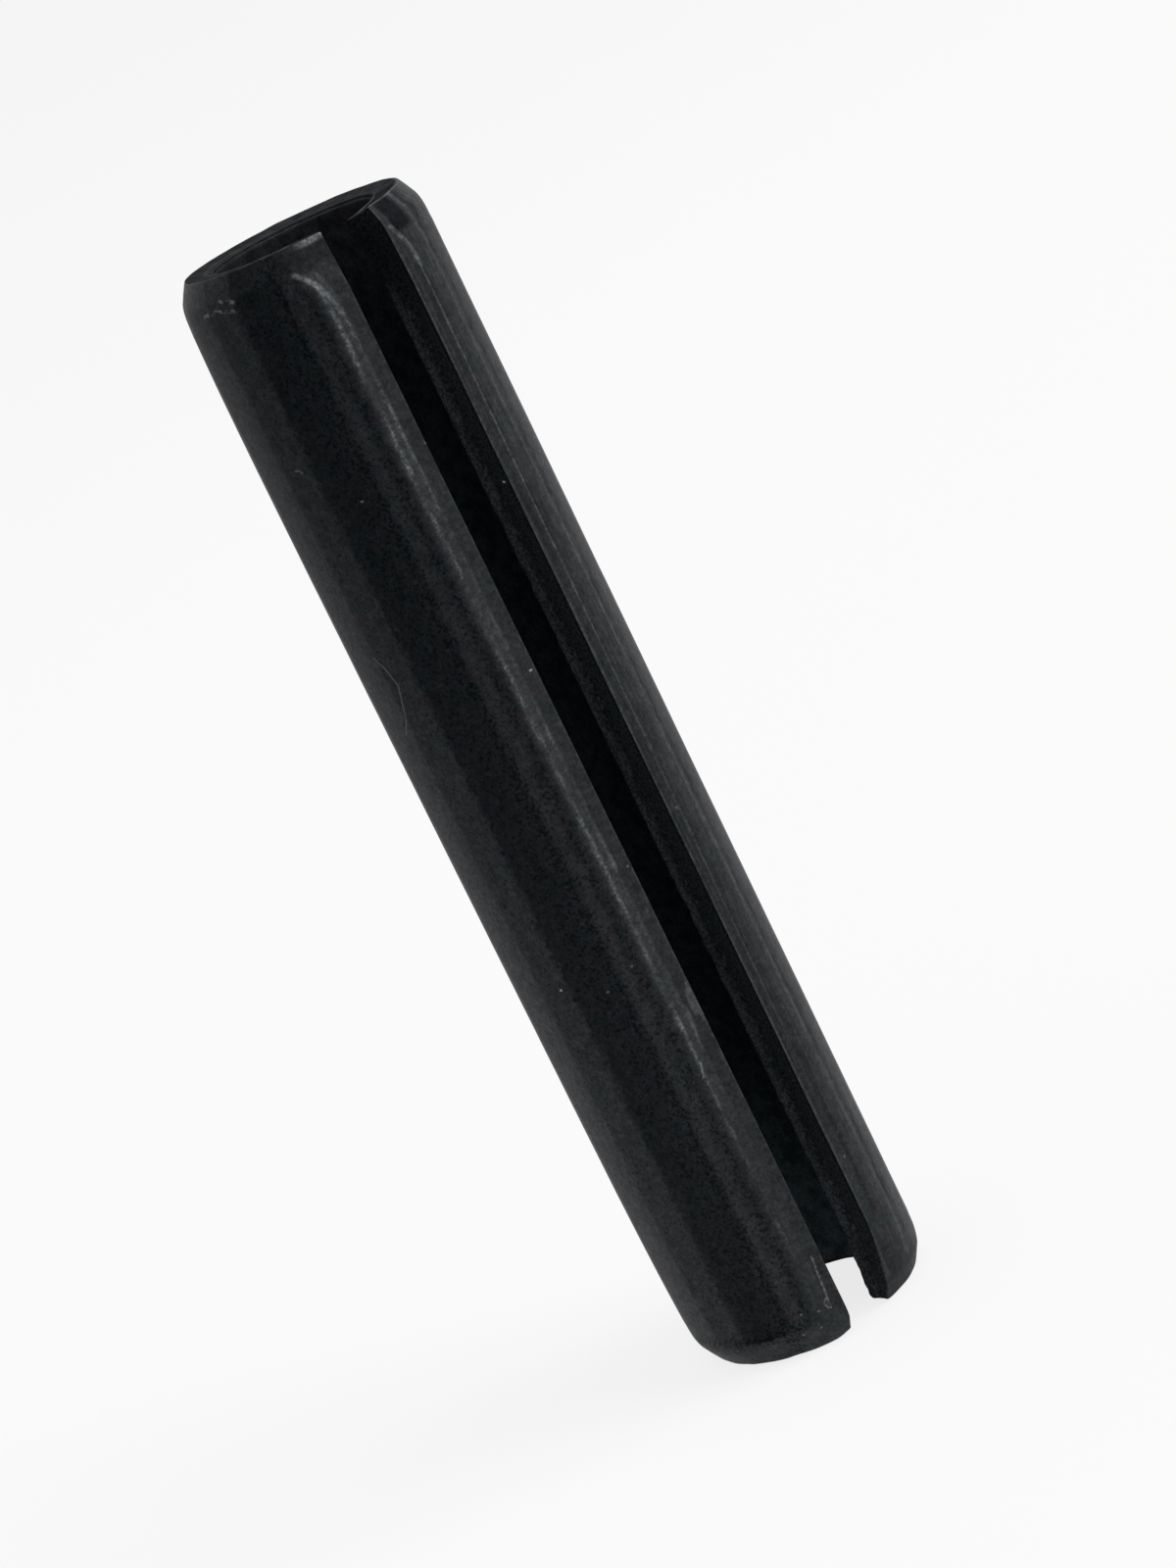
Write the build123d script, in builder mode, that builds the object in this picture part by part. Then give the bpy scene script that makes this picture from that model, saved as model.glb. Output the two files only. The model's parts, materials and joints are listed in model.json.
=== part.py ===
"""Slotted spring pin, heavy duty, 8 x 40: one strip of spring steel rolled into an open tube.

The pin stands on its lower end. +Z runs along its axis, the origin is the centre of the lower end,
and the slot between the two lips faces -Y. All sizes are in millimetres, of the free pin.
"""
from build123d import *
from math import radians, sqrt, tan
import os

# Body: the free pin is a little larger than the 8 mm hole that it is driven into.
length = 40.0
free_diameter = 8.55
wall = 1.5

# Slot: its width is measured between the outer corners of the lips.
slot_width = 2.04
slot_face_angle = 3.5  # each cut face leans this far from parallel, so the slot narrows inwards

# Lips: the strip's long edges stay flat in the rolling, so each lip has a flat beside the slot.
lip_flat_width = 0.7
lip_flat_drop = 0.07  # how far the flat's outer corner lies inside the full circle
lip_edge_radius = 0.1
lip_inner_edge_radius = 0.12

# Ends: a lead chamfer for driving, eased into the body by a shoulder, with a bevelled mouth.
chamfer_length = 0.65
chamfer_angle = 27.0
shoulder_length = 0.8
shoulder_drop = 0.13
mouth_bevel_width = 0.2
mouth_bevel_length = 0.3
end_edge_radius = 0.12

outer_radius = free_diameter / 2
bore_radius = outer_radius - wall

# The two ridges lie on the full circle, and the slot's corners lie a little inside it.
slot_corner_x = slot_width / 2
slot_corner_y = -(sqrt(outer_radius**2 - slot_corner_x**2) - lip_flat_drop)
ridge_x = slot_corner_x + lip_flat_width
ridge_y = -sqrt(outer_radius**2 - ridge_x**2)
beyond = -free_diameter  # a place clear outside the pin, where the cutters end


def slot_half_width(y):
    """Half the slot's width at the height y across the pin."""
    return slot_corner_x - (y - slot_corner_y) * tan(radians(slot_face_angle))


shoulder_end = chamfer_length + shoulder_length
chamfer_top_radius = outer_radius - shoulder_drop
end_radius = chamfer_top_radius - chamfer_length * tan(radians(chamfer_angle))

with BuildPart() as spring_pin:
    # The rolled strip: an open ring with a flat on each lip.
    with BuildSketch() as section:
        Circle(outer_radius)
        with BuildLine():
            Polyline(
                (-ridge_x, beyond),
                (-ridge_x, ridge_y),
                (-slot_corner_x, slot_corner_y),
                (slot_corner_x, slot_corner_y),
                (ridge_x, ridge_y),
                (ridge_x, beyond),
                close=True,
            )
        make_face(mode=Mode.SUBTRACT)
        Circle(bore_radius, mode=Mode.SUBTRACT)
        with BuildLine():
            Polyline(
                (-slot_half_width(beyond), beyond),
                (-slot_half_width(0), 0),
                (slot_half_width(0), 0),
                (slot_half_width(beyond), beyond),
                close=True,
            )
        make_face(mode=Mode.SUBTRACT)
        # From the slot inwards lie the lips' corners, the ridges, then the inner corners.
        fillet(section.vertices().sort_by(Axis.Y)[4:6], lip_inner_edge_radius)
        fillet(section.vertices().sort_by(Axis.Y)[0:2], lip_edge_radius)
    extrude(amount=length)

    # Both ends: chamfer, shoulder and bevelled mouth, turned about the axis.
    with BuildSketch(Plane.XZ) as end_shape:
        with BuildLine() as lower_half:
            Polyline(
                (bore_radius, length / 2),
                (bore_radius, mouth_bevel_length),
                (bore_radius + mouth_bevel_width, 0),
                (end_radius, 0),
                (chamfer_top_radius, chamfer_length),
            )
            TangentArc(
                (outer_radius, shoulder_end),
                (chamfer_top_radius, chamfer_length),
                tangent=(0, -1),
            )
            Line((outer_radius, shoulder_end), (outer_radius, length / 2))
            mirror(about=Plane.XZ.offset(-length / 2))  # the sketch's own Y runs along the pin
        make_face()
    revolve(axis=Axis.Z, mode=Mode.INTERSECT)

    # Tumbling takes the sharpness off every edge of the two end faces.
    end_faces = spring_pin.faces().filter_by(Axis.Z)
    fillet(end_faces.edges(), end_edge_radius)

spring_pin.part.label = "spring_pin"

os.makedirs("parts", exist_ok=True)
export_step(spring_pin.part, "parts/spring_pin.step")
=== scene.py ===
"""Slotted spring pin in black oxide, standing on its lower end on a plain pale floor.

The pin is one piece, so one dressed mesh stands for its one CAD node. It is lofted along the pin from
the cross-section of the solid, with eased edges and the small errors of a rolled and swaged pin.
Lengths are in millimetres until a vertex is placed. Angles are measured from the slot, which faces -Y,
and grow towards +X. The lip on the +X side is called the right one.
"""
import json
from collections import namedtuple
from functools import cached_property
from math import atan2, cos, exp, pi, radians, sin, sqrt, tan

import bpy
from mathutils import Matrix, Vector
from mathutils.noise import noise


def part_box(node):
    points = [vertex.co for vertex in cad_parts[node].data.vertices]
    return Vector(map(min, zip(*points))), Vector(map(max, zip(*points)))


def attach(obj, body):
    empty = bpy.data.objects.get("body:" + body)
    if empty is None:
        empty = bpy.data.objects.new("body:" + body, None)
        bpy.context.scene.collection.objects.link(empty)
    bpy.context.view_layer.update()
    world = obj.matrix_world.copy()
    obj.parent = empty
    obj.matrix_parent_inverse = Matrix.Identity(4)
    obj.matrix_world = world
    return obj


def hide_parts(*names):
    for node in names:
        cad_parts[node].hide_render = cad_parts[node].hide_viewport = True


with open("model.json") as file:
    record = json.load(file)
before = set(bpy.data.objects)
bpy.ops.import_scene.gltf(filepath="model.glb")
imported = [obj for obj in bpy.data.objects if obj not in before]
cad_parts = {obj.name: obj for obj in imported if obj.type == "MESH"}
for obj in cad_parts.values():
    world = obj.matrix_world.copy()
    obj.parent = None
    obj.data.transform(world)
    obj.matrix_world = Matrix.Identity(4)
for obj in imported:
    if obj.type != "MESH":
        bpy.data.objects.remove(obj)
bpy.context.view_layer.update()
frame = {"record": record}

MM = 0.001

# ---------------------------------------------------------------- sizes of the pin

mounts = {mount["name"]: mount["dims"] for mount in frame["record"]["mounts"]}
OUTER_RADIUS = mounts["body"]["r_mm"]
BORE_RADIUS = mounts["bore"]["r_mm"]
LENGTH = (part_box("spring_pin")[1].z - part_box("spring_pin")[0].z) / MM

# The slot and its lips: each lip has a narrow flat, eased edges and a burr along the bore.
SLOT_WIDTH = 2.04
SLOT_FACE_LEAN = tan(radians(3.5))
LIP_FLAT_WIDTH = 0.7
LIP_FLAT_DROP = 0.07
LIP_EDGE_REACH = 0.07
LIP_INNER_EDGE_REACH = 0.05
RIDGE_BLEND = 0.02
BURR_HEIGHT = 0.07
BURR_WIDTH = 0.35

# The ends: a chamfer that meets the body in a soft shoulder, and a bevel at the bore's mouth.
CHAMFER_LENGTH = 0.65
CHAMFER_ANGLE = radians(27)
CHAMFER_BLEND = 0.08
SHOULDER_LENGTH = 0.8
SHOULDER_DROP = 0.13
MOUTH_BEVEL_WIDTH = 0.15
MOUTH_BEVEL_LENGTH = 0.18
END_EDGE_RADIUS = 0.12
MOUTH_TURN = pi / 4  # how far the edge between the end face and the mouth's bevel turns
END_FACE_INSETS = 0.33, 0.22, 0.12, 0.04

# Rolling leaves the outside in shallow flats, which meet along lines at these angles from the slot.
LEFT_ROLL_LINES = [radians(a) for a in (0, 27, 40, 64, 80, 104, 130, 156, 180)]
RIGHT_ROLL_LINES = [radians(a) for a in (0, 21, 34, 50, 68, 90, 115, 140, 160, 180)]
ROLL_FLATNESS = 0.3

# How far noise moves the outside in and out: broad and fine, on the body, the lips' flats and the ends.
BODY_WAVES = 0.006, 0.003
FLAT_WAVE = 0.015
END_WAVES = 0.02, 0.012

# The left lip's upper end missed the chamfering: it only leans in a little, from here to the end.
LEAN_START = 2.0
LEAN_SLOPE = 0.1
UNTURNED_EDGE = radians(-31), radians(-27)

CORNER_X = SLOT_WIDTH / 2
CORNER_Y = -(sqrt(OUTER_RADIUS**2 - CORNER_X**2) - LIP_FLAT_DROP)
CORNER_ANGLE = atan2(CORNER_X, -CORNER_Y)
RIDGE_X = CORNER_X + LIP_FLAT_WIDTH
RIDGE_Y = -sqrt(OUTER_RADIUS**2 - RIDGE_X**2)
RIDGE_ANGLE = atan2(RIDGE_X, -RIDGE_Y)
FLAT_NORMAL_ANGLE = atan2(RIDGE_Y - CORNER_Y, RIDGE_X - CORNER_X)
FLAT_DISTANCE = OUTER_RADIUS * cos(RIDGE_ANGLE - FLAT_NORMAL_ANGLE)

CHAMFER_TOP_RADIUS = OUTER_RADIUS - SHOULDER_DROP
END_RADIUS = CHAMFER_TOP_RADIUS - CHAMFER_LENGTH * tan(CHAMFER_ANGLE)
SHOULDER_RADIUS = (SHOULDER_LENGTH**2 + SHOULDER_DROP**2) / (2 * SHOULDER_DROP)

# ---------------------------------------------------------------- the pin's surface

# One step along the pin: its height, the outer surface's greatest radius there, the bore's radius, and
# how far the cut faces and an unturned lip stand back where their ends are rounded.
Station = namedtuple("Station", "height limit bore recess")


def ease(value, start, end):
    """A smooth rise from 0 at the start to 1 at the end."""
    t = min(max((value - start) / (end - start), 0), 1)
    return t * t * (3 - 2 * t)


def smooth_min(a, b, blend):
    """The lesser of two lengths, with a rounded turn where they meet."""
    near = max(blend - abs(a - b), 0) / blend
    return min(a, b) - near * near * blend / 4


def rolled_radius(angle):
    """The body's radius at an angle: a circle, a little flatter between its roll lines."""
    lines = RIGHT_ROLL_LINES if angle > 0 else LEFT_ROLL_LINES
    turn = abs(angle)
    for start, end in zip(lines, lines[1:]):
        if turn <= end:
            break
    half = (end - start) / 2
    off = min(abs(turn - (start + end) / 2), half)
    return OUTER_RADIUS * (1 - ROLL_FLATNESS * (1 - cos(half) / cos(off)))


def outer_radius(angle, station):
    """The outer surface's distance from the axis at an angle."""
    height, limit, _, recess = station
    place = Vector((3 * sin(angle), 3 * cos(angle), height / 4))
    body = rolled_radius(angle) + BODY_WAVES[0] * noise(place) + BODY_WAVES[1] * noise(place * 3.7)
    flat = FLAT_DISTANCE + FLAT_WAVE * noise(Vector((7 if angle > 0 else -7, 0, height / 3)))
    left_top = angle < 0 and height > LENGTH / 2  # where the left lip missed the chamfering
    if left_top:
        flat -= LEAN_SLOPE * max(LEAN_START - (LENGTH - height), 0)
    flat /= cos(min(abs(abs(angle) - FLAT_NORMAL_ANGLE), 1.0))
    radius = smooth_min(body, flat, RIDGE_BLEND)
    end_place = Vector((2.5 * sin(angle), 2.5 * cos(angle), 5 if height > LENGTH / 2 else 0))
    limit += END_WAVES[0] * noise(end_place) + END_WAVES[1] * noise(end_place * 4)
    turned = smooth_min(radius, limit, CHAMFER_BLEND)
    share = ease(angle, *UNTURNED_EDGE) if left_top else 0
    return turned + (radius - recess - turned) * share


def end_stations():
    """The stations from inside an end face out to the straight body."""
    turn = pi / 2 - CHAMFER_ANGLE
    bevel_radius = BORE_RADIUS + MOUTH_BEVEL_WIDTH
    bevel_slope = MOUTH_BEVEL_WIDTH / MOUTH_BEVEL_LENGTH
    outer = END_RADIUS - END_EDGE_RADIUS * tan(turn / 2)
    inner = bevel_radius + END_EDGE_RADIUS * tan(MOUTH_TURN / 2)
    stations = []
    for inset in END_FACE_INSETS:
        stations.append(Station(0, outer - inset, inner + inset, END_EDGE_RADIUS + inset))
    rounding_steps = 6
    for i in range(rounding_steps + 1):
        part = i / rounding_steps
        height = END_EDGE_RADIUS * (1 - cos(turn * part))
        limit = outer + END_EDGE_RADIUS * sin(turn * part)
        bore = inner - END_EDGE_RADIUS * sin(min(turn * part, MOUTH_TURN))
        recess = END_EDGE_RADIUS * (1 - sin(pi / 2 * part))
        stations.append(Station(height, limit, max(bore, bevel_radius - height * bevel_slope), recess))
    start = stations[-1].height
    chamfer_steps = 11
    for i in range(1, chamfer_steps + 1):
        height = start + (CHAMFER_LENGTH - start) * i / chamfer_steps
        limit = CHAMFER_TOP_RADIUS - (CHAMFER_LENGTH - height) * tan(CHAMFER_ANGLE)
        bore = max(BORE_RADIUS, bevel_radius - height * bevel_slope)
        stations.append(Station(height, limit, bore, 0))
    shoulder_steps = 9
    for i in range(1, shoulder_steps + 1):
        left = SHOULDER_LENGTH * (1 - i / shoulder_steps)
        limit = OUTER_RADIUS - SHOULDER_RADIUS + sqrt(SHOULDER_RADIUS**2 - left**2)
        stations.append(Station(CHAMFER_LENGTH + SHOULDER_LENGTH - left, limit, BORE_RADIUS, 0))
    return stations


def stations_along_pin():
    """Every station, from the middle of the lower end face's wall to that of the upper one."""
    lower = end_stations()
    upper = [station._replace(height=LENGTH - station.height) for station in reversed(lower)]
    start = lower[-1].height
    count = 205
    step = (LENGTH - 2 * start) / count
    clear = OUTER_RADIUS + 1  # beyond the body, so that it limits nothing
    middle = [Station(start + step * i, clear, BORE_RADIUS, 0) for i in range(1, count)]
    return lower + middle + upper


def on_circle(radius, angle):
    """The point of a section at a distance from the axis and an angle from the slot."""
    return Vector((radius * sin(angle), -radius * cos(angle)))


def on_cut_face(radius, recess):
    """The point of the right-hand cut face that lies at a distance from the axis."""
    y = -radius
    for _ in range(6):
        x = CORNER_X + recess - (y - CORNER_Y) * SLOT_FACE_LEAN
        y = -sqrt(radius**2 - x**2)
    return Vector((x, y))


def eased_corner(before, corner, after, count=6):
    """A smooth turn from one point to another round a corner, without its two ends."""
    steps = [(i + 1) / (count + 1) for i in range(count)]
    return [before.lerp(corner, t).lerp(corner.lerp(after, t), t) for t in steps]


def half_section(station, side):
    """The section's outline on one side of the slot, from the back of the bore to the body's back."""
    bore_steps, face_steps, outer_steps = 30, 14, 95
    inner_corner = on_cut_face(station.bore, station.recess)
    roughness = noise(Vector((side * 5, 0, station.height * 1.5)))
    roughness += noise(Vector((side * 5, 2, station.height * 4)))
    burr = BURR_HEIGHT * (1 + 0.5 * roughness)
    inner_corner.x -= burr
    corner_angle = CORNER_ANGLE
    for _ in range(4):
        radius = outer_radius(side * corner_angle, station)
        outer_corner = on_cut_face(radius, station.recess)
        corner_angle = atan2(outer_corner.x, -outer_corner.y)
    depth = (outer_corner - inner_corner).length
    inner_reach = min(LIP_INNER_EDGE_REACH, depth / 4)
    outer_reach = min(LIP_EDGE_REACH, depth / 4)

    bore_end = atan2(inner_corner.x, -inner_corner.y) + inner_reach / station.bore
    bore = [on_circle(station.bore, pi + (bore_end - pi) * i / bore_steps) for i in range(bore_steps + 1)]
    face = []
    for i in range(face_steps + 1):
        reach = inner_reach + (depth - inner_reach - outer_reach) * i / face_steps
        point = inner_corner.lerp(outer_corner, reach / depth)
        point.x += burr * (ease(reach, 0, BURR_WIDTH) - reach / depth)
        face.append(point)
    outer_start = corner_angle + outer_reach / radius
    outer = []
    for i in range(outer_steps + 1):
        angle = outer_start + (pi - outer_start) * (i / outer_steps)**1.5
        outer.append(on_circle(outer_radius(side * angle, station), angle))
    inner_turn = eased_corner(bore[-1], inner_corner, face[0])
    outer_turn = eased_corner(face[-1], outer_corner, outer[0])
    outline = bore + inner_turn + face + outer_turn + outer
    return [Vector((side * point.x, point.y, station.height)) for point in outline]


# The pin's own errors. Its left side tapers gently to both ends. The right lip is pinched a little at
# the upper end and more at the lower one. The bore's mouth beside that lip droops at the upper end, and
# its corner leans into the slot. The swaging left the upper end face lower at the bore than at the rim.
# The lips' lower tips are worn round. A reach is the distance at which an error fades out.
TAPER = 0.2
TAPER_ANGLE = radians(-118)
TAPER_REACH = 2.8
UPPER_PINCH = Vector((-0.06, 0.06))
LOWER_PINCH = Vector((-0.28, 0.15))
PINCH_REACH = 3.0
PINCH_SPREAD = radians(55)
PINCH_INNER_RADIUS = 1.5
DROOP = 0.14
DROOP_PLACE = Vector((0.9, -2.75))
DROOP_REACH = 1.3
DROOP_DEPTH = 1.2
DROOP_LEAN = Vector((-0.26, 0))
DROOP_LEAN_RADII = 3.7, 2.9
TIP_WEAR = 0.1
TIP_PLACES = Vector((0.75, -3.6)), Vector((-0.95, -3.75))
TIP_REACH = 0.4
TIP_DEPTH = 1.0
END_FACE_DISH = 0.13
DISH_DEPTH = 1.0
END_FACE_ROUGHNESS = 0.02
ROUGHNESS_DEPTH = 0.4


def as_made(point):
    """Where a point of the true form lies on this pin."""
    flat = point.xy
    angle = atan2(flat.x, -flat.y)
    upper = point.z > LENGTH / 2
    from_end = min(point.z, LENGTH - point.z)

    taper = TAPER * exp(-from_end / TAPER_REACH) * max(cos(angle - TAPER_ANGLE), 0)
    shift = -flat.normalized() * taper
    if flat.x > 0:
        pinch = UPPER_PINCH if upper else LOWER_PINCH
        pinch = pinch * ease(flat.length, PINCH_INNER_RADIUS, OUTER_RADIUS)
        shift += pinch * ease(from_end, PINCH_REACH, 0) * ease(angle, PINCH_SPREAD, CORNER_ANGLE)

    rough = noise(Vector((*(flat * 1.7), point.z))) + 1
    sink = END_FACE_ROUGHNESS * rough * ease(from_end, ROUGHNESS_DEPTH, 0)
    if upper:
        inward = min(max((END_RADIUS - flat.length) / (END_RADIUS - BORE_RADIUS), 0), 1)
        sink += END_FACE_DISH * inward * ease(from_end, DISH_DEPTH, 0)
        near = (flat - DROOP_PLACE).length / DROOP_REACH
        droop = exp(-near * near) * ease(from_end, DROOP_DEPTH, 0)
        sink += DROOP * droop
        shift += DROOP_LEAN * droop * ease(flat.length, *DROOP_LEAN_RADII)
    else:
        near = min((flat - place).length for place in TIP_PLACES) / TIP_REACH
        sink += TIP_WEAR * exp(-near * near) * ease(from_end, TIP_DEPTH, 0)
    flat = flat + shift
    return Vector((flat.x, flat.y, point.z - sink if upper else point.z + sink))


def pin_mesh():
    """The whole pin as one closed mesh."""
    rows = []
    for station in stations_along_pin():
        right = half_section(station, 1)
        left = half_section(station, -1)
        rows.append(right + list(reversed(left))[1:-1])
    count = len(rows[0])
    vertices = [as_made(point) * MM for row in rows for point in row]
    faces = []
    for row in range(len(rows) - 1):
        base, top = row * count, (row + 1) * count
        for i in range(count):
            j = (i + 1) % count
            faces.append((base + i, base + j, top + j, top + i))
    last = (len(rows) - 1) * count
    faces += [tuple(reversed(range(count))), tuple(range(last, last + count))]
    mesh = bpy.data.meshes.new("spring_pin_dressed")
    mesh.from_pydata(vertices, [], faces)
    mesh.validate()
    mesh.shade_smooth()
    return mesh


# ---------------------------------------------------------------- nodes


def plug(tree, socket, value):
    """Feed an input with a field, a socket or a plain value."""
    if isinstance(value, Field):
        value = value.socket
    if isinstance(value, bpy.types.NodeSocket):
        tree.links.new(value, socket)
    else:
        socket.default_value = value


class Field:
    """A number that varies over a surface. Arithmetic on it adds math nodes."""

    def __init__(self, tree, socket):
        self.tree = tree
        self.socket = socket

    def math(self, operation, *others):
        node = self.tree.nodes.new("ShaderNodeMath")
        node.operation = operation
        for socket, value in zip(node.inputs, (self, *others)):
            plug(self.tree, socket, value)
        return Field(self.tree, node.outputs[0])

    def __add__(self, other):
        return self.math("ADD", other)

    def __sub__(self, other):
        return self.math("SUBTRACT", other)

    def __rsub__(self, other):
        return self.math("MULTIPLY_ADD", -1, other)

    def __mul__(self, other):
        return self.math("MULTIPLY", other)

    def __abs__(self):
        return self.math("ABSOLUTE")

    __radd__ = __add__
    __rmul__ = __mul__

    def least(self, other):
        return self.math("MINIMUM", other)

    def most(self, other):
        return self.math("MAXIMUM", other)

    def rise(self, low, high, to_low=0.0, to_high=1.0):
        """A smooth change from one value to another as this one goes from low to high."""
        node = self.tree.nodes.new("ShaderNodeMapRange")
        node.interpolation_type = "SMOOTHSTEP"
        for name, value in zip(("Value", "From Min", "From Max", "To Min", "To Max"),
                               (self, low, high, to_low, to_high)):
            plug(self.tree, node.inputs[name], value)
        return Field(self.tree, node.outputs["Result"])

    def spread(self, low, high):
        """A noise's usual values, which are 0.3 to 0.7, spread out from one value to another."""
        return self.rise(0.3, 0.7, low, high)

    def near(self, middle, reach):
        """1 where this is at a value, falling smoothly to 0 at some reach from it."""
        return abs(self - middle).rise(0, reach, 1, 0)

    def towards(self, other, share):
        """This value, changed towards another by a share."""
        return self + (other - self) * share


class Shading:
    """The nodes of a material or a world, with short ways to make what it needs."""

    def __init__(self, owner):
        self.owner = owner
        owner.use_nodes = True
        self.tree = owner.node_tree
        self.tree.nodes.clear()

    def node(self, kind, inputs=(), **settings):
        node = self.tree.nodes.new(kind)
        for name, value in settings.items():
            setattr(node, name, value)
        for name, value in dict(inputs).items():
            plug(self.tree, node.inputs[name], value)
        return node

    def vector(self, operation, *values):
        node = self.node("ShaderNodeVectorMath", operation=operation)
        for socket, value in zip(node.inputs, values):
            plug(self.tree, socket, value)
        return node.outputs["Vector"]

    @cached_property
    def place(self):
        """The place on the object, in millimetres."""
        return self.vector("MULTIPLY", self.node("ShaderNodeTexCoord").outputs["Object"], [1 / MM] * 3)

    def parts(self, vector):
        """The three numbers of a vector."""
        split = self.node("ShaderNodeSeparateXYZ", {"Vector": vector})
        return [Field(self.tree, socket) for socket in split.outputs]

    def noise(self, scale, detail=2.0, roughness=0.5, stretch=1.0, start=(0, 0, 0)):
        """Noise with so many features to the millimetre, drawn out along the pin by a stretch."""
        place = self.vector("MULTIPLY", self.place, (1, 1, 1 / stretch))
        place = self.vector("ADD", place, start)
        node = self.node("ShaderNodeTexNoise", {
            "Vector": place, "Scale": scale, "Detail": detail, "Roughness": roughness})
        return Field(self.tree, node.outputs["Fac"])

    def off_line(self, place, points):
        """How far a place is from a broken line through some points."""
        nearest = None
        for start, end in zip(points, points[1:]):
            span = Vector(end) - Vector(start)
            from_start = self.vector("SUBTRACT", place, start)
            along = self.node("ShaderNodeVectorMath", operation="DOT_PRODUCT").outputs["Value"]
            plug(self.tree, along.node.inputs[0], from_start)
            plug(self.tree, along.node.inputs[1], span / span.length_squared)
            along = Field(self.tree, along).most(0).least(1)
            step = self.node("ShaderNodeVectorMath", {"Vector": span, "Scale": along}, operation="SCALE")
            off = self.node("ShaderNodeVectorMath", operation="DISTANCE")
            plug(self.tree, off.inputs[0], from_start)
            plug(self.tree, off.inputs[1], step.outputs["Vector"])
            off = Field(self.tree, off.outputs["Value"])
            nearest = off if nearest is None else nearest.least(off)
        return nearest


# ---------------------------------------------------------------- black oxide

DEGREE = radians(OUTER_RADIUS)  # the length of one degree round the outside

# Where lines and edges show on the outside. A turn is in degrees from the slot. The left lip's lines are
# given by their lengths from its ridge towards the slot.
LEFT_RIDGE_TURN = 28.1
MAIN_LINE = 0.19
SECOND_LINE = 0.49
LIP_LINE = 1.07
RIGHT_RIDGE_TURN = 18.8
RIGHT_RIDGE_DRIFT = 0.083  # degrees for each millimetre of height
CORNER_TURN = 13.9
# where the right side's painted highlight runs
PAINTED_HIGHLIGHT_TURN = 33.2
WAVY_LINE_TURN = 37.2
LEFT_LOWER_CHAMFER_TOP = 1.0
UPPER_CHAMFER_START = 39.15, 39.3

# Tones are the shares of light that the oxide sends back, before its texture. Some of them hold painted
# light:
# reflections, highlights and shade put into the colour. Round the left side the tone changes from band to
# band, a painted reflection of its roll flats: each band gives the turns that the change starts and ends at,
# and its tone.
LEFT_PAINTED_REFLECTION_BANDS = [(38.5, 42, 0.0122), (44, 52, 0.0102), (62, 67, 0.0215), (80.5, 83, 0.0295), (84, 92, 0.0335)]
LEFT_PAINTED_TONES_BY_RIDGE = 0.016, 0.0205
UPPER_CHAMFER_TONE = 0.0135
# the right side's tones: a painted reflection
RIGHT_PAINTED_REFLECTION_TONES = 0.0235, 0.0335
RIGHT_LOWER_CHAMFER_TONE = 0.026
# a dark reflection painted on the right lip's upper chamfer
DARK_PAINTED_REFLECTION_TONE = 0.008
BACK_TONE = 0.022
# the left lip's tone: partly rubbed, partly painted light
LEFT_LIP_RUBBED_AND_LIT_TONE = 0.0285
LOWER_CHAMFER_TONE = 0.039
CUT_FACE_TONE = 0.0195
TORN_FRINGE_TONE = 0.048
# the bore's tones: painted light, lighter towards the lower end
HOLLOW_PAINTED_LIGHT_TONES = 0.11, 0.033
# the mouths' bevels: lighter by painted light
MOUTH_BEVEL_PAINTED_LIGHT_TONE = 0.022
# the end faces: darker beside the slot by painted shade
END_FACE_TONES_WITH_PAINTED_SHADE = 0.028, 0.014

# What rubbing, marks and painted highlights add to the tone.
ZONE_WEAR_AND_HIGHLIGHT = 0.012
MAIN_LINE_WEAR_AND_HIGHLIGHT = 0.05
SECOND_LINE_WEAR_AND_HIGHLIGHT = 0.03
LIP_LINE_WEAR_AND_HIGHLIGHT = 0.03
DASH_WEAR = 0.035
RIGHT_LINE_WEAR_AND_HIGHLIGHT = 0.03
HOOK_WEAR_AND_HIGHLIGHT = 0.054
LIP_END_WEAR_AND_HIGHLIGHT = 0.1
CORNER_WEAR_AND_HIGHLIGHT = 0.028
# pale rims: partly rubbed, partly painted highlights
RIM_WEAR_AND_HIGHLIGHT = 0.09
SCRATCH_TONE = 0.09
SCUFF_TONE = 0.07
HAIR_TONE = 0.05
DUST_TONE = 0.07
BRIGHT_DUST_TONE = 0.25
CUT_FACE_DUST_TONE = 0.6
PIT_DARKNESS = 0.72

# How the oxide departs from a plain grey, how it shines, and how high its texture stands.
RED_SHARE = 0.985
BLUE_SHARE = 1.05
SHEEN_ROUGHNESS = 0.36, 0.48
DULL_ROUGHNESS = 0.7
METAL_SHARE = 0.6
DULL_METAL_SHARE = 0.1
STREAK_HEIGHT = 0.002
GRAIN_HEIGHT = 0.004
BUMP_HEIGHT = 0.01
MOTTLE_HEIGHT = 0.008
PIT_DEPTH = 0.01

# Marks on the outside, as (angle from the slot in degrees, height).
HAIR = [(-82.5, 27), (-78.5, 26.6), (-75.5, 25.95), (-79, 25.2), (-81, 24.75), (-87, 24.25)]
LIP_SCRATCH = [(-18.5, 3.17), (-19.2, 2.72), (-19.5, 2.25), (-20.2, 1.7), (-20.6, 1.3)]
LIP_SCRATCH_HOOK = [(-20.2, 1.7), (-22.7, 1.53), (-21.6, 1.33)]
RIDGE_NICK = [(-25, 10.8), (-26.8, 10.3)]
HEM_SCUFFS = [(-64, 39.1), (-72, 39.27)], [(-66, 38.85), (-76, 39.0), (-86, 38.95)]
CURL = [(-70.5, 33.38), (-72, 33.5), (-73.8, 33.5)]
LEFT_HOOK = [(-22.5, 37.5), (-24.5, 38.2), (-27, 38.62), (-31, 38.95), (-33.5, 39.12)]
RIGHT_HOOK = [(22.3, 37.6), (21.6, 38.2), (19.8, 38.6), (16.5, 39.06)]
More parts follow.
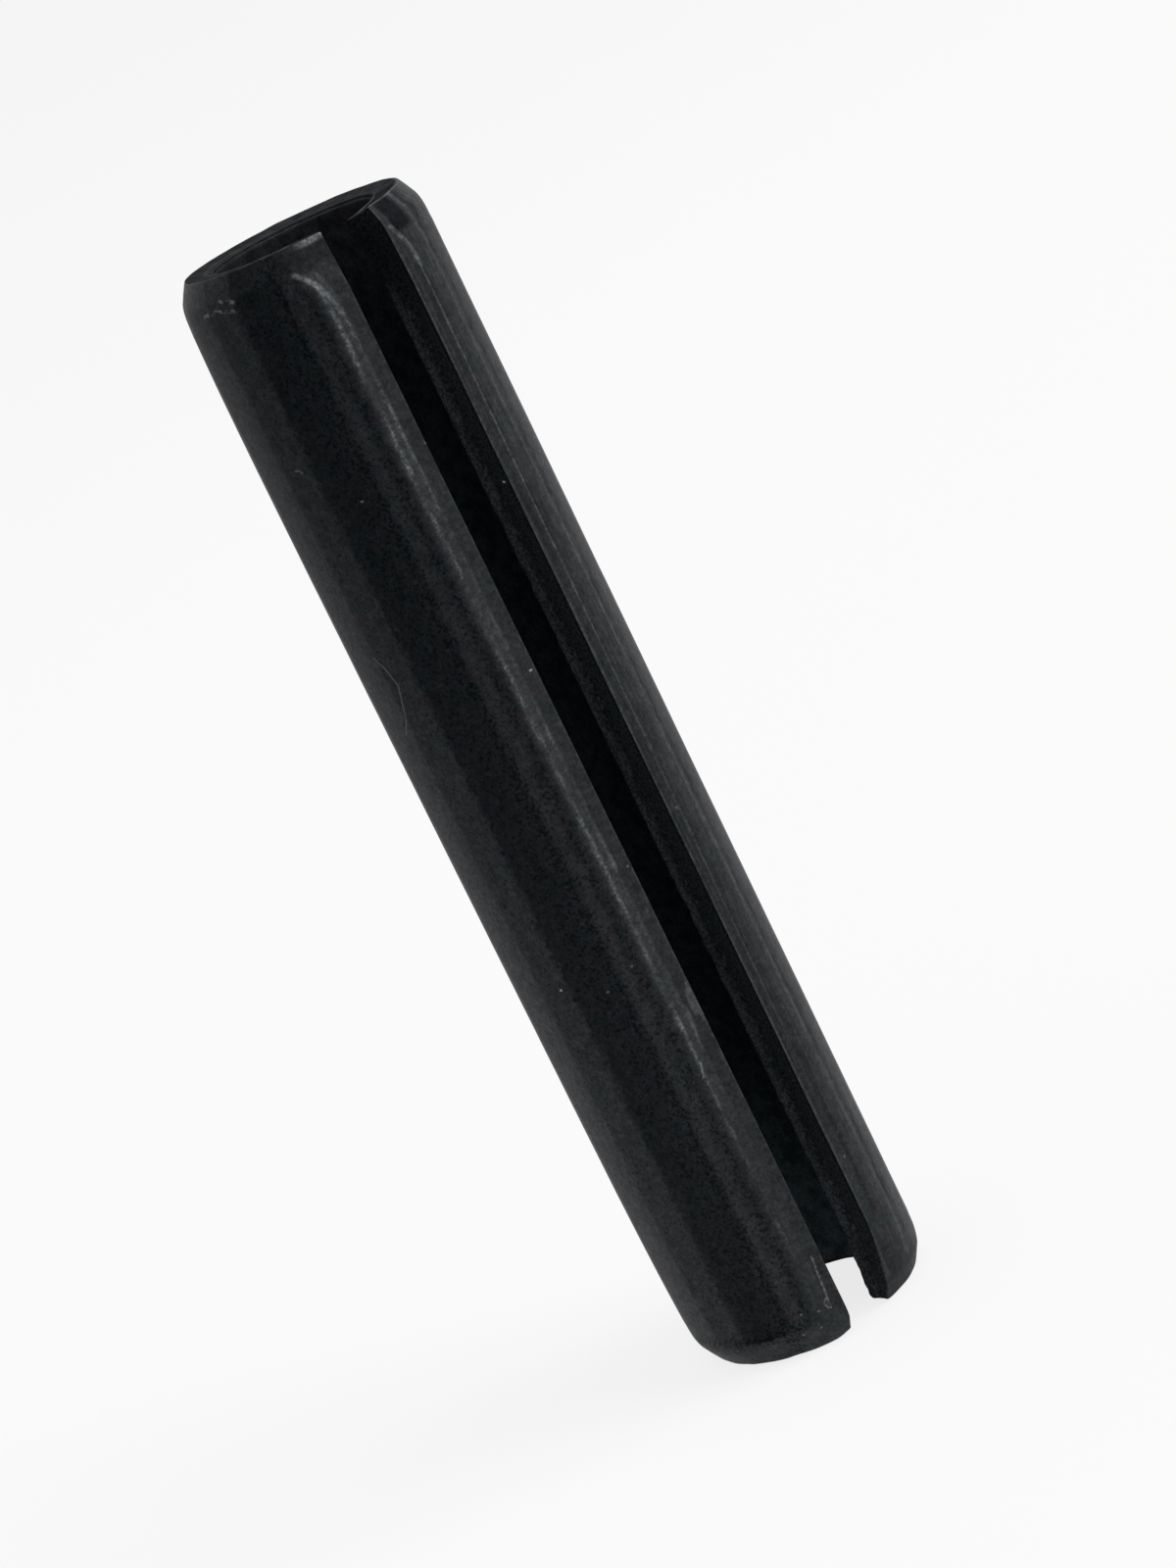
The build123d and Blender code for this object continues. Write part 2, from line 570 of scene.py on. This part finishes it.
BRIGHT_DUST = [(-16.6, 24.8), (-69, 14.7)]
CUT_FACE_DUST = [(15.4, 30.32)]
DUST = [(-14.2, 32.7), (-49.9, 31.9), (-48, 14.2), (-33.4, 14.7), (-16, 17.7), (19, 18.4), (19, 5.3),
        (-26.3, 1.37), (-28.3, 0.8), (-37, 0.8), (-33.9, 1.52)]


class PinShading(Shading):
    """The pin's material: where on the pin a place is, and the noises that its tones share."""

    def __init__(self, owner):
        super().__init__(owner)
        x, y, z = self.parts(self.place)
        self.z = z
        self.turn = x.math("ARCTAN2", y * -1).math("DEGREES")
        self.radius = (x * x + y * y).math("SQRT")
        self.depth = (self.radius - BORE_RADIUS) * (1 / (OUTER_RADIUS - BORE_RADIUS))
        self.from_end = z.least(LENGTH - z)
        unrolled = self.node("ShaderNodeCombineXYZ", {"X": self.turn * DEGREE, "Y": z})
        self.unrolled = unrolled.outputs["Vector"]

        # which surface a place is on: outside, end face, bore, or else a cut face
        normal_x, normal_y, normal_z = self.parts(self.node("ShaderNodeTexCoord").outputs["Normal"])
        facing = (normal_x * x + normal_y * y).math("DIVIDE", self.radius)
        self.flatness = abs(normal_z)
        self.skin = facing.rise(0.35, 0.6)
        self.end_face = self.flatness.rise(0.88, 0.96)
        self.bore = facing.rise(-0.35, -0.6)
        self.right = x.rise(-0.6, 0.6)

        self.fine_streaks = self.noise(9, 4, 0.65, stretch=30)
        self.patches = self.noise(1.6, 3, 0.6, stretch=3)
        self.mottle = self.noise(2.2, 4, 0.6)
        self.bumps = self.noise(5, 3, 0.6)
        self.grain = self.noise(11, 2, 0.7)
        self.wander = self.noise(1.1, 3, 0.6, stretch=2.5, start=(0, 0, 3)) - 0.5
        ragged = (self.bumps - 0.5) * 2 + self.wander

        # how far round the left side, past the ridge of its lip, and below the top of its lower chamfer
        self.left = self.turn * -1 + ragged * 2.5
        # (towards both ends the ridge bends away from the slot)
        beyond = (z - (LENGTH - 2.3)).least(1.5).most(2.4 - z).most(0)
        ridge = LEFT_RIDGE_TURN + beyond * beyond * 2.4
        self.over_ridge = (ridge + self.turn) * DEGREE + ragged * 0.06
        self.left_lip = self.over_ridge.rise(-0.25, 0.15)
        self.over_low_end = LEFT_LOWER_CHAMFER_TOP - z + ragged * 0.12

    def off_mark(self, points):
        """How far a place on the unrolled outside is from a mark."""
        return self.off_line(self.unrolled, [(angle * DEGREE, height, 0) for angle, height in points])

    def specks(self, places):
        """1 on small specks round some places."""
        spots = 0
        for angle, height in places:
            across = angle * DEGREE
            off = self.off_line(self.unrolled, [(across - 0.02, height, 0), (across + 0.02, height, 0)])
            spots = off.rise(0.048, 0.02) + spots
        return spots


def left_tone_with_painted_reflections(m):
    """The left side: bands of painted reflection, and painted light that lightens it towards the lower end.
    """
    # bands of painted reflection round the left side
    tone = m.left.rise(32.5, 35.5, *LEFT_PAINTED_TONES_BY_RIDGE)
    for start, end, next_tone in LEFT_PAINTED_REFLECTION_BANDS:
        tone = tone.towards(next_tone, m.left.rise(start, end))
    # lighter towards the lower end: painted light
    tone = tone * m.z.rise(0, LENGTH, 1.4, 0.8)
    chamfer = m.z.rise(*UPPER_CHAMFER_START)
    tone = tone.towards(UPPER_CHAMFER_TONE, chamfer * m.left.rise(68, 52))
    return tone * (1 + chamfer * m.left.rise(60, 75) * 0.4)


def right_tone_with_painted_reflections(m):
    """The right side, with its roll lines, and the back; the right side's tone is a painted reflection."""
    turn, z = m.turn, m.z
    scallops = m.noise(1.9, 1, 0.5, start=(4, 4, 0)) - 0.5
    wavy_line = (turn + scallops * 9 + m.wander * 6).near(WAVY_LINE_TURN, 2.2)
    wavy_line = wavy_line * m.patches.rise(0.35, 0.6, 0.35, 1)
    # a painted highlight along one line
    painted_highlight_line = turn.near(PAINTED_HIGHLIGHT_TURN, 2.4)
    # the right side's tone: a painted reflection
    tone = m.fine_streaks.spread(*RIGHT_PAINTED_REFLECTION_TONES) * (1 - wavy_line * 0.5) * (1 + painted_highlight_line * 0.7)
    # lighter further round and towards the lower end: painted light
    tone = tone * turn.rise(20, 30, 0.88, 1.2) * turn.rise(37, 45, 1, 1.5) * z.rise(9, 2, 1, 1.15)
    tone = tone.towards(BACK_TONE, turn.rise(60, 110) + turn.rise(-110, -150))
    tone = tone.towards(RIGHT_LOWER_CHAMFER_TONE, z.rise(1.1, 0.8))
    # a dark reflection painted on the right lip's upper chamfer
    return tone.towards(DARK_PAINTED_REFLECTION_TONE, z.rise(38.7, 38.9) * turn.rise(17, 19) * turn.rise(32, 28))


def base_tone_with_painted_light(m):
    """The outside's tone before its ridge lines and texture, with painted reflections and light in it."""
    tone = left_tone_with_painted_reflections(m).towards(right_tone_with_painted_reflections(m), m.right)
    # the left lip lighter than the body: partly rubbed, partly painted light
    lip_rubbed_and_lit_tone = m.z.rise(0.7, 1.3, LOWER_CHAMFER_TONE, LEFT_LIP_RUBBED_AND_LIT_TONE) * m.z.rise(39, 39.25, 1, 0.72)
    lower_chamfer = m.over_low_end.rise(-0.04, 0.05)
    return tone.towards(lip_rubbed_and_lit_tone, (1 - m.right) * m.left_lip.most(lower_chamfer))


def ridge_wear_and_highlights(m):
    """What the ridges and corners add to the outside's tone: partly rubbed, partly painted highlights."""
    over, z = m.over_ridge, m.z
    rubbed = m.patches.rise(0.42, 0.6, 0.15, 1.1) * m.grain.rise(0.35, 0.65, 0.5, 1.5)
    # pale lines along the left ridge and the slot's edge: partly rubbed, partly painted highlights
    main_line = over.near(MAIN_LINE, 0.11)
    second_line = over.near(SECOND_LINE, 0.1) * z.rise(5, 30, 0.3, 1)
    left = (main_line * MAIN_LINE_WEAR_AND_HIGHLIGHT + second_line * SECOND_LINE_WEAR_AND_HIGHLIGHT) * rubbed
    left = left + over.rise(0.0, 0.12) * over.rise(0.62, 0.5) * ZONE_WEAR_AND_HIGHLIGHT
    left = left + over.near(LIP_LINE, 0.13) * z.rise(39, 5, 0.3, 1) * LIP_LINE_WEAR_AND_HIGHLIGHT
    dashes = m.noise(3, 2, 0.5, stretch=5, start=(6, 0, 2)).rise(0.62, 0.7) * over.rise(0.4, 0.5)
    left = left + dashes * z.rise(4, 9) * z.rise(26, 16) * DASH_WEAR
    left = left * z.rise(39.1, 38.8)

    # the right ridge's pale line, the hooks and the corner line: partly rubbed, partly painted highlights
    off_ridge = (RIGHT_RIDGE_TURN + z * RIGHT_RIDGE_DRIFT - m.turn) * DEGREE
    right = off_ridge.near(0, 0.07) * z.rise(LENGTH - 2.2, LENGTH - 2.6)
    right = right * m.grain.rise(0.35, 0.65, 0.7, 1.3) * z.rise(8, 30, 0.35, 1.2) * RIGHT_LINE_WEAR_AND_HIGHLIGHT
    wear_and_highlights = left.towards(right, m.right) * z.rise(8, 12, 0.4, 1.0) * z.rise(1.3, 2.4)

    hooks = m.off_mark(LEFT_HOOK).rise(0.12, 0.03) + m.off_mark(RIGHT_HOOK).rise(0.13, 0.04)
    lip_end = (1 - m.right) * m.turn.rise(-33, -18) * z.rise(LENGTH - 0.28, LENGTH - 0.18)
    wear_and_highlights = wear_and_highlights + (hooks * HOOK_WEAR_AND_HIGHLIGHT + lip_end * LIP_END_WEAR_AND_HIGHLIGHT) * m.bumps.rise(0.3, 0.6, 0.5, 1.2)
    off_corner = (m.turn - CORNER_TURN + z.rise(LENGTH - PINCH_REACH, LENGTH)) * DEGREE
    corner_line = off_corner.near(0.03, 0.12) * m.patches.rise(0.3, 0.6, 0.5, 1) * z.rise(1, 6, 0.2, 1)
    return wear_and_highlights + corner_line * CORNER_WEAR_AND_HIGHLIGHT


def texture(m):
    """The share by which the noises change the outside's tone."""
    share = m.fine_streaks.spread(0.92, 1.08) * m.mottle.spread(0.85, 1.15)
    return share * m.bumps.spread(0.82, 1.18) * m.grain.spread(0.76, 1.24)


def pits(m):
    """1 in the small pits of the left side, which are thick along its ridge and by the lower chamfer."""
    pitting = m.noise(9, 2, 0.6, start=(3, 1, 4))
    thickness = m.left.near(31, 4) * 0.6 + m.left.near(42, 5) * 0.7 + m.left.near(50, 12) * 0.25 + 0.3
    scattered = (pitting + thickness * 0.14).rise(0.62, 0.69) * (1 - m.left_lip) * (1 - m.right)
    low = pitting.rise(0.46, 0.54) * m.over_low_end.near(-0.15, 0.4) * (1 - m.left_lip)
    return (scattered * 0.75).most(low)


def inside_tone(m):
    """The cut faces, with a torn fringe along the bore, and the bore, both with painted light and shade."""
    z = m.z
    fringe = (m.depth + (m.bumps - 0.5) * 0.9).rise(0.45, 0.2) * z.rise(LENGTH - 2, LENGTH - 4)
    fringe = fringe * m.patches.rise(0.4, 0.58, 0.5, 1.2)
    cut = fringe.rise(0, 1, CUT_FACE_TONE, TORN_FRINGE_TONE) * m.grain.rise(0.35, 0.65, 0.4, 1.6)
    # darker towards the outer edge: partly the cut's burnished zone, partly painted shade
    cut = cut * m.depth.rise(1.0, 0.8, 0.12, 1)
    # darker towards the upper end, lighter towards the lower end: painted shade and light
    cut = cut * z.rise(LENGTH - 6, LENGTH - 1, 1, 0.5) * z.rise(9, 1, 1, 1.4)
    # the bore lighter towards the lower end and darker towards the upper: painted light
    hollow_with_painted_light = z.rise(1, 9, *HOLLOW_PAINTED_LIGHT_TONES) * z.rise(LENGTH - 12, LENGTH - 2, 1, 0.5)
    hollow_with_painted_light = hollow_with_painted_light * m.mottle.spread(0.6, 1.4) * m.grain.spread(0.7, 1.3)
    return cut.towards(hollow_with_painted_light, m.bore)


def with_ends(m, tone):
    """The tone with the ends over it: dull faces, the mouths' bevels, and rims, with painted light and
    shade.
    """
    # the mouths' bevels lighter: painted light
    bevel = m.bore * m.from_end.rise(MOUTH_BEVEL_LENGTH + 0.03, MOUTH_BEVEL_LENGTH - 0.03)
    tone = tone.towards(MOUTH_BEVEL_PAINTED_LIGHT_TONE, bevel)
    # the end faces darker beside the slot: painted shade
    end_tone_with_painted_shade = m.mottle.spread(0.6, 1.4) * m.turn.near(30, 45).rise(0.2, 0.6, *END_FACE_TONES_WITH_PAINTED_SHADE)
    tone = tone.towards(end_tone_with_painted_shade, m.end_face)
    # pale rims and edges: partly rubbed, partly painted highlights
    bore_rim = m.radius.near(BORE_RADIUS + MOUTH_BEVEL_WIDTH, 0.1)
    bore_rim = bore_rim * m.turn.near(25, 45).rise(0.2, 0.7, 0.25, 1.6)
    rims = (bore_rim + m.radius.near(END_RADIUS - 0.04, 0.08)) * m.end_face
    edges = m.flatness.near(0.75, 0.18) * m.turn.near(25, 60).rise(0.2, 0.7, 0.4, 1.4)
    return tone + (rims + edges) * m.patches.rise(0.35, 0.6, 0.5, 1) * RIM_WEAR_AND_HIGHLIGHT


def small_marks(m):
    """What dust, a hair and small scratches add to the tone."""
    off_scratch = m.off_mark(LIP_SCRATCH).least(m.off_mark(LIP_SCRATCH_HOOK)).least(m.off_mark(RIDGE_NICK))
    off_scratch = off_scratch + (m.bumps - 0.5) * 0.12
    scratches = off_scratch.rise(0.05, 0.01) * m.grain.rise(0.4, 0.55, 0.25, 1)
    hair = m.off_mark(HAIR).least(m.off_mark(CURL)).rise(0.045, 0.01)
    off_scuffs = m.off_mark(HEM_SCUFFS[0]).least(m.off_mark(HEM_SCUFFS[1]))
    scuffs = off_scuffs.rise(0.09, 0.02) * m.bumps.rise(0.42, 0.6)
    marks = scratches * SCRATCH_TONE + hair * HAIR_TONE + scuffs * SCUFF_TONE
    marks = marks + m.specks(BRIGHT_DUST) * BRIGHT_DUST_TONE + m.specks(DUST) * DUST_TONE
    on_cut_face = m.specks(CUT_FACE_DUST) * m.depth.near(0.76, 0.1) * CUT_FACE_DUST_TONE
    return on_cut_face.towards(marks, m.skin)


def tinted(m, tone):
    """The tone as a colour: near neutral, with teal and violet patches, and cooler inside."""
    teal = m.noise(1.4, 1, 0.5, start=(2, 7, 1)).rise(0.5, 0.68)
    violet = m.noise(1.4, 1, 0.5, start=(5, 1, 8)).rise(0.5, 0.68)
    tint = teal * (tone * 0.06 + 0.001)
    cool = (1 - m.skin) * m.from_end.rise(0.25, 0.5) * m.z.rise(LENGTH - 1, LENGTH - 6)
    red = tone * (RED_SHARE - cool * m.bore.rise(0, 1, 0.05, 0.2)) - tint - 0.0004
    blue = tone * (BLUE_SHARE + cool * 0.05) - tint * 0.3 + violet * 0.0006 + 0.0009
    color = m.node("ShaderNodeCombineColor", {"Red": red.most(0), "Green": tone, "Blue": blue})
    return color.outputs["Color"]


def black_oxide_material():
    """Black oxide on rolled strip: near-black, streaked along the pin, pale along its ridges, with painted
    light.
    """
    m = PinShading(bpy.data.materials.new("black_oxide_steel"))
    holes = pits(m)
    outside = (base_tone_with_painted_light(m) + ridge_wear_and_highlights(m)) * texture(m) * (1 - holes * PIT_DARKNESS)
    tone = with_ends(m, inside_tone(m).towards(outside, m.skin)) + small_marks(m)

    dull = (1 - m.skin).most(m.end_face)
    roughness = m.fine_streaks.spread(*SHEEN_ROUGHNESS).towards(DULL_ROUGHNESS, dull)
    height = m.fine_streaks * STREAK_HEIGHT + m.grain * GRAIN_HEIGHT + m.bumps * BUMP_HEIGHT
    height = height + m.mottle * MOTTLE_HEIGHT - holes * PIT_DEPTH
    bump = m.node("ShaderNodeBump", {"Strength": 1.0, "Distance": MM, "Height": height})
    shader = m.node("ShaderNodeBsdfPrincipled", {
        "Base Color": tinted(m, tone), "Roughness": roughness,
        "Metallic": METAL_SHARE - dull * (METAL_SHARE - DULL_METAL_SHARE),
        "Normal": bump.outputs["Normal"], "Specular IOR Level": 0.0, "Specular Tint": (0.75, 0.75, 0.75, 1)})
    m.node("ShaderNodeOutputMaterial", {"Surface": shader.outputs["BSDF"]})
    return m.owner


pin = bpy.data.objects.new("spring_pin_dressed", pin_mesh())
bpy.context.scene.collection.objects.link(pin)
pin.data.materials.append(black_oxide_material())
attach(pin, "root")
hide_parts("spring_pin")

# ---------------------------------------------------------------- floor and light

FLOOR_SIZE = 4.0
FLOOR_WHITE_SHARE = 0.8
PAPER_TONE = 0.9
WORLD_STRENGTH = 0.6
WHITE = 1, 1, 1, 1


def share_seen(m):
    """1 for the rays that show a thing itself or its reflection, 0 for those that only light."""
    path = m.node("ShaderNodeLightPath").outputs
    return Field(m.tree, path["Is Camera Ray"]).most(path["Is Glossy Ray"]).most(path["Is Transmission Ray"])


def floor_material():
    """White paper: its own light for what sees it, with a share left to show the shadow."""
    m = Shading(bpy.data.materials.new("floor"))
    paper = m.node("ShaderNodeBsdfDiffuse", {"Color": (PAPER_TONE, PAPER_TONE, PAPER_TONE, 1)})
    white = m.node("ShaderNodeEmission", {"Color": WHITE, "Strength": 1.0})
    share = share_seen(m) * FLOOR_WHITE_SHARE
    mix = m.node("ShaderNodeMixShader", {0: share, 1: paper.outputs[0], 2: white.outputs[0]})
    m.node("ShaderNodeOutputMaterial", {"Surface": mix.outputs[0]})
    return m.owner


half = FLOOR_SIZE / 2
floor_mesh = bpy.data.meshes.new("floor")
corners = [(-half, -half, 0), (half, -half, 0), (half, half, 0), (-half, half, 0)]
floor_mesh.from_pydata(corners, [], [(0, 1, 2, 3)])
floor_mesh.materials.append(floor_material())
floor = bpy.data.objects.new("floor", floor_mesh)
bpy.context.scene.collection.objects.link(floor)


def studio_world():
    """Plain white surroundings, weaker as a light than they look."""
    m = Shading(bpy.data.worlds.new("studio"))
    strength = share_seen(m) * (1 - WORLD_STRENGTH) + WORLD_STRENGTH
    white = m.node("ShaderNodeBackground", {"Color": WHITE, "Strength": strength})
    m.node("ShaderNodeOutputWorld", {"Surface": white.outputs[0]})
    return m.owner


bpy.context.scene.world = studio_world()


def add_lamp(name, azimuth, elevation, distance, size, power):
    """A square soft lamp that faces the middle of the pin. Azimuth turns from -Y towards +X."""
    aim = Vector((0, 0, LENGTH / 2)) * MM
    level = Vector((sin(radians(azimuth)), -cos(radians(azimuth)), 0)) * cos(radians(elevation))
    direction = level + Vector((0, 0, sin(radians(elevation))))
    data = bpy.data.lights.new(name, "AREA")
    data.size = size
    data.energy = power
    lamp = bpy.data.objects.new(name, data)
    lamp.location = aim + direction * distance
    lamp.rotation_euler = direction.to_track_quat("Z", "Y").to_euler()
    bpy.context.scene.collection.objects.link(lamp)


add_lamp("key", azimuth=45, elevation=40, distance=0.6, size=0.4, power=2.0)

# ---------------------------------------------------------------- camera

CAMERA_DISTANCE = 141.6 * MM
CAMERA_AZIMUTH = radians(27.86)
CAMERA_ELEVATION = radians(14.19)
CAMERA_ROLL = radians(25.95)
CAMERA_AIM = Vector((0.774, -0.405, 19.64)) * MM
CAMERA_LENS = 99.94
SENSOR_WIDTH = 36
NEAREST_SEEN = 0.01

level = Vector((sin(CAMERA_AZIMUTH), cos(CAMERA_AZIMUTH), 0)) * cos(CAMERA_ELEVATION)
look = level - Vector((0, 0, sin(CAMERA_ELEVATION)))
camera_data = bpy.data.cameras.new("camera")
camera_data.lens = CAMERA_LENS
camera_data.sensor_width = SENSOR_WIDTH
camera_data.clip_start = NEAREST_SEEN
camera = bpy.data.objects.new("camera", camera_data)
bpy.context.scene.collection.objects.link(camera)
turn = look.to_track_quat("-Z", "Y").to_matrix().to_4x4() @ Matrix.Rotation(-CAMERA_ROLL, 4, "Z")
camera.matrix_world = Matrix.Translation(CAMERA_AIM - look * CAMERA_DISTANCE) @ turn
bpy.context.scene.camera = camera
bpy.context.scene.view_settings.view_transform = "Standard"
